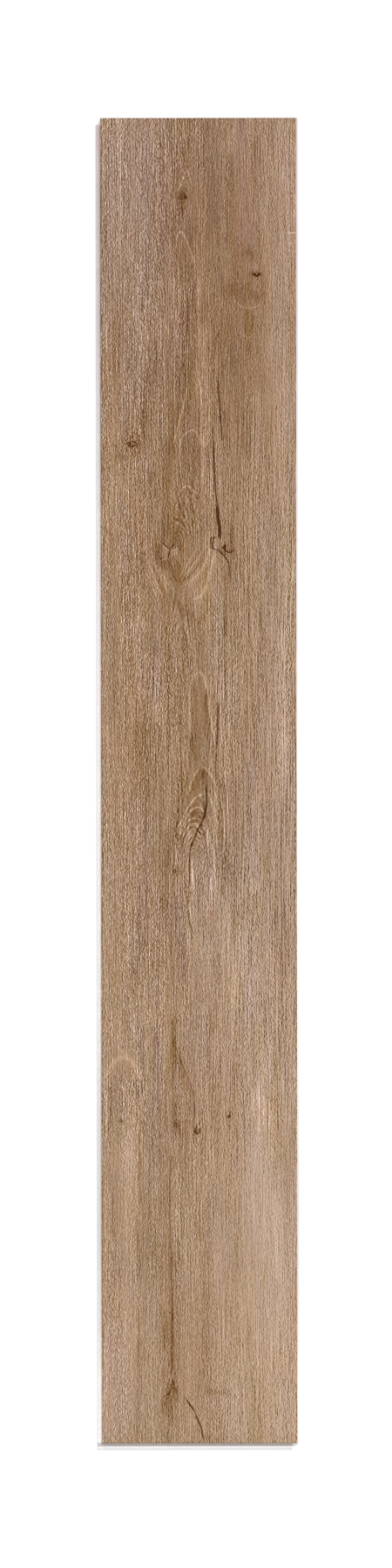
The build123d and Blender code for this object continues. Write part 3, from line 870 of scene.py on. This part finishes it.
class Nodes:
    """Short calls for building one material's nodes."""

    def __init__(self, name):
        self.material = bpy.data.materials.new(name)
        self.material.use_nodes = True
        self.tree = self.material.node_tree
        self.tree.nodes.clear()

    def add(self, kind, *inputs, output=0, **settings):
        """Adds a node, sets or links its inputs in order, and returns an output."""
        node = self.tree.nodes.new(kind)
        for key, value in settings.items():
            setattr(node, key, value)
        for socket, value in zip([s for s in node.inputs if s.enabled], inputs):
            self.put(socket, value)
        return node.outputs[output]

    def put(self, socket, value):
        if isinstance(value, bpy.types.NodeSocket):
            self.tree.links.new(value, socket)
        else:
            socket.default_value = value

    def math(self, operation, *inputs, clamp=False):
        return self.add("ShaderNodeMath", *inputs, operation=operation, use_clamp=clamp)

    def vector(self, operation, *inputs):
        return self.add("ShaderNodeVectorMath", *inputs, operation=operation)

    def field(self, name):
        return self.add("ShaderNodeAttribute", output=1, attribute_name=name)

    def split(self, vector):
        node = self.tree.nodes.new("ShaderNodeSeparateXYZ")
        self.tree.links.new(vector, node.inputs[0])
        return node.outputs

    def noise(self, vector, size, detail=1.0, rough=0.5, dimensions="2D"):
        """Noise about 0, with cells of the given size along each axis."""
        scaled = self.vector("MULTIPLY", vector, tuple(1 / s for s in size))
        noise = self.add("ShaderNodeTexNoise", scaled, 1.0, detail, rough, noise_dimensions=dimensions)
        return self.math("SUBTRACT", noise, 0.5)

    def fibres(self, across, along, width, length, seed, detail, rough):
        """Noise that runs along separate fibres, set off from the fibres one step to each side."""
        strands = []
        for step in (0.0, -FIBRE_STEP, FIBRE_STEP):
            fibre = self.math("FLOOR", self.math("MULTIPLY", self.math("ADD", across, step), 1 / width))
            fibre = self.math("MULTIPLY_ADD", fibre, FIBRE_SPREAD, seed)
            place = self.add("ShaderNodeCombineXYZ", fibre, self.math("MULTIPLY", along, 1 / length))
            strands.append(self.noise(place, (1, 1, 1), detail, rough))
        own, left, right = strands
        return self.math("MULTIPLY_ADD", self.math("ADD", left, right), FIBRE_CONTRAST, own)

    def line(self, distance, ragged, half_width):
        """1 on a stroke with a ragged edge and 0 away from it."""
        distance = self.math("ABSOLUTE", self.math("ADD", distance, ragged))
        return self.math("SUBTRACT", half_width, distance, clamp=True)

    def ramp(self, value, start, end):
        """0 at the start to 1 at the end."""
        return self.math("MULTIPLY_ADD", value, 1 / (end - start), -start / (end - start), clamp=True)

    def bump(self, height, strength, distance):
        node = self.tree.nodes.new("ShaderNodeBump")
        node.inputs["Strength"].default_value = strength
        node.inputs["Distance"].default_value = distance
        self.put(node.inputs["Height"], height)
        return node.outputs[0]

    def surface(self, colour, roughness, normal, specular):
        shader = self.tree.nodes.new("ShaderNodeBsdfPrincipled")
        self.put(shader.inputs["Base Color"], self.add("ShaderNodeGamma", colour, SCREEN_GAMMA))
        self.put(shader.inputs["Roughness"], roughness)
        self.put(shader.inputs["Normal"], normal)
        shader.inputs["Specular IOR Level"].default_value = specular
        self.finish(shader.outputs[0])
        return self.material

    def finish(self, shader):
        output = self.tree.nodes.new("ShaderNodeOutputMaterial")
        self.tree.links.new(shader, output.inputs["Surface"])


def vinyl_material():
    """Oak print: streaked grain over smooth colours, light arches, dark cracks, and an embossed matt film."""
    n = Nodes("printed_vinyl_face")
    grain = n.field("grain")
    contrast, long_shown, pores_shown = n.split(n.field("streaks"))
    crack, arch_a, arch_b = n.split(n.field("strokes"))
    crack_depth, arch_a_depth, arch_b_depth = n.split(n.field("stroke_depths"))

    wander = n.noise(grain, (5.0, 24.0, 1.0))
    rough = n.noise(grain, (1.1, 3.0, 1.0))
    across, along, _ = n.split(grain)
    across = n.math("MULTIPLY_ADD", wander, 0.4, across)
    short = n.fibres(across, along, *SHORT_FIBRES)
    fleck = n.fibres(across, along, *FLECKS)
    long = n.fibres(across, along, *LONG_FIBRES)
    bands = n.noise(grain, (2.6, 90.0, 1.0))
    streak = n.math("MULTIPLY", short, SHORT_SHARE)
    streak = n.math("MULTIPLY_ADD", n.math("MULTIPLY", long, long_shown), LONG_SHARE, streak)
    streak = n.math("MULTIPLY_ADD", n.math("MULTIPLY", bands, long_shown), BAND_SHARE, streak)
    tone = n.math("MULTIPLY", n.math("MULTIPLY_ADD", fleck, FLECK_SHARE, streak), contrast)
    pore = n.math("MULTIPLY_ADD", tone, tone, -0.035)
    tone = n.math("SUBTRACT", tone, n.math("MULTIPLY", pore, pores_shown))

    ring_level, ring_shown, _ = n.split(n.field("rings"))
    ring_line = n.math("PINGPONG", n.math("MULTIPLY_ADD", wander, 0.8, ring_level), RING_SPACING / 2)
    ring_line = n.math("MULTIPLY_ADD", ring_line, 5.0 / RING_SPACING, -1.2, clamp=True)
    ring_line = n.math("MULTIPLY", n.math("SUBTRACT", ring_line, 0.45), ring_shown)
    ragged = n.math("MULTIPLY", rough, RAGGED)
    arch_a_line = n.math("MULTIPLY", n.line(arch_a, ragged, ARCH_EDGE), arch_a_depth)
    arch_b_line = n.math("MULTIPLY", n.line(arch_b, ragged, ARCH_EDGE), arch_b_depth)
    arch = n.math("MAXIMUM", arch_a_line, arch_b_line)
    arch = n.math("MULTIPLY", arch, n.math("MULTIPLY_ADD", streak, 0.65, 0.95, clamp=True))
    crack_line = n.math("MULTIPLY", n.line(crack, ragged, CRACK_EDGE), crack_depth)
    crack_line = n.math("MULTIPLY", crack_line, n.math("MULTIPLY_ADD", short, 2.5, 0.95, clamp=True))
    knot, knot_depth, knot_heart = n.split(n.field("knots"))
    knot = n.math("MULTIPLY_ADD", rough, 0.5, knot)
    from_ring = n.math("ABSOLUTE", n.math("SUBTRACT", knot, KNOT_RING))
    knot_ring = n.math("SUBTRACT", 1.0, n.math("MULTIPLY", from_ring, RING_SHARPNESS), clamp=True)
    heart = n.math("MULTIPLY", n.math("SUBTRACT", 1.0, knot), HEART_SHARPNESS, clamp=True)
    heart = n.math("MULTIPLY", heart, n.math("SUBTRACT", 1.0, knot_heart))
    knot_dark = n.math("MULTIPLY", n.math("MAXIMUM", knot_ring, heart), knot_depth)

    colour = n.field("print_colour")
    marks = [
        (tone, GRAIN_COLOUR),
        (ring_line, RING_COLOUR),
        (arch, ARCH_COLOUR),
        (knot_dark, KNOT_COLOUR),
        (crack_line, CRACK_COLOUR),
    ]
    for mark, change in marks:
        colour = n.vector("MULTIPLY_ADD", mark, change, colour)
    colour = n.vector("MAXIMUM", colour, DARKEST)

    height = n.math("ADD", streak, n.math("MULTIPLY", crack_line, -0.6))
    roughness = n.math("MULTIPLY_ADD", streak, -0.25, FILM_ROUGHNESS)
    return n.surface(colour, roughness, n.bump(height, *FILM_BUMP), FILM_SHINE)


def core_material():
    """Milled mineral-filled vinyl: light grey with fine pale and dark specks, and painted light and shade
    along the plank.
    """
    n = Nodes("mineral_core_milled")
    place = n.add("ShaderNodeTexCoord", output=3)
    cloud = n.noise(place, *CLOUDS, "3D")
    speck = n.noise(place, *SPECKS, "3D")
    mill = n.noise(place, *MILLING, "3D")
    tone = 0.0
    for pattern, strength in ((cloud, 0.06), (speck, 0.16), (mill, 0.05)):
        tone = n.math("MULTIPLY_ADD", pattern, strength, tone)
    _, along, _ = n.split(place)
    # Painted light: the core is paler towards the near end
    pale = n.math("MULTIPLY_ADD", along, CORE_PAINTED_LIGHT_FADE, CORE_PALE)
    # Painted shade at the foot of the end lip, next to the face
    lip_foot_shade = n.math("MULTIPLY", n.ramp(along, *LIP_FOOT), n.ramp(along, *PAST_FACE))
    pale = n.math("MULTIPLY_ADD", lip_foot_shade, LIP_FOOT_PAINTED_SHADE, pale)
    # Painted light and shade: paler and darker stretches along the side lip
    for middle, half_length, change in LIP_PAINTED_LIGHT_AND_SHADE:
        offset = n.math("MULTIPLY_ADD", along, 1 / half_length, -middle / half_length)
        stretch = n.math("SUBTRACT", 1.0, n.math("POWER", offset, 2.0), clamp=True)
        pale = n.math("MULTIPLY_ADD", stretch, change, pale)
    hue = n.vector("MULTIPLY_ADD", n.ramp(along, *FAR_END_SPAN), FAR_END_HUE, CORE_HUE)
    colour = n.vector("ADD", tone, n.vector("MULTIPLY", pale, hue))
    roughness = n.math("MULTIPLY_ADD", speck, 0.2, CORE_ROUGHNESS)
    return n.surface(colour, roughness, n.bump(n.math("ADD", speck, mill), *CORE_BUMP), CORE_SHINE)


def build_floor():
    """White floor under the plank, which keeps the plank's soft shadow."""
    mesh = bpy.data.meshes.new("floor")
    corners = [(-1, -1), (1, -1), (1, 1), (-1, 1)]
    mesh.from_pydata([(FLOOR_SIDE * x, FLOOR_SIDE * y, 0) for x, y in corners], [], [(0, 1, 2, 3)])
    floor = bpy.data.objects.new("floor", mesh)
    floor.location.z = -FLOOR_DROP
    bpy.context.scene.collection.objects.link(floor)
    n = Nodes("floor_white")
    diffuse = n.add("ShaderNodeBsdfDiffuse", (FLOOR_WHITE, FLOOR_WHITE, FLOOR_WHITE, 1))
    glow = n.add("ShaderNodeEmission", (1, 1, 1, 1), FLOOR_GLOW)
    n.finish(n.add("ShaderNodeAddShader", diffuse, glow))
    mesh.materials.append(n.material)


def build_light():
    """Even white surroundings and one broad soft light from above the far end, a little to the right."""
    world = bpy.data.worlds.new("studio")
    bpy.context.scene.world = world
    world.use_nodes = True
    nodes = world.node_tree.nodes
    links = world.node_tree.links
    nodes.clear()
    path = nodes.new("ShaderNodeLightPath")
    mix = nodes.new("ShaderNodeMixShader")
    output = nodes.new("ShaderNodeOutputWorld")
    links.new(path.outputs["Is Camera Ray"], mix.inputs[0])
    for socket, strength in ((mix.inputs[1], WORLD_STRENGTH), (mix.inputs[2], 1.0)):
        white = nodes.new("ShaderNodeBackground")
        white.inputs["Color"].default_value = (1, 1, 1, 1)
        white.inputs["Strength"].default_value = strength
        links.new(white.outputs[0], socket)
    links.new(mix.outputs[0], output.inputs["Surface"])
    lamp = bpy.data.lights.new("key", "SUN")
    lamp.energy = KEY_STRENGTH
    lamp.angle = math.radians(KEY_ANGLE)
    key = bpy.data.objects.new("key", lamp)
    key.rotation_euler = [math.radians(turn) for turn in KEY_TURN]
    bpy.context.scene.collection.objects.link(key)


def build_camera():
    """Camera straight above the plank, framed as the photograph is."""
    data = bpy.data.cameras.new("camera")
    data.lens = CAMERA_LENS
    camera = bpy.data.objects.new("camera", data)
    camera.location = CAMERA_PLACE
    camera.rotation_euler = (0, 0, math.radians(CAMERA_ROLL))
    bpy.context.scene.collection.objects.link(camera)
    bpy.context.scene.camera = camera


vinyl = build_vinyl()
vinyl.data.materials.append(vinyl_material())
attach(vinyl, "root")
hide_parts("vinyl_top_layer")

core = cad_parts["rigid_core"]
core_look = core_material()
for slot in core.material_slots:
    slot.material = core_look

build_floor()
build_light()
build_camera()
bpy.context.scene.view_settings.view_transform = "Standard"
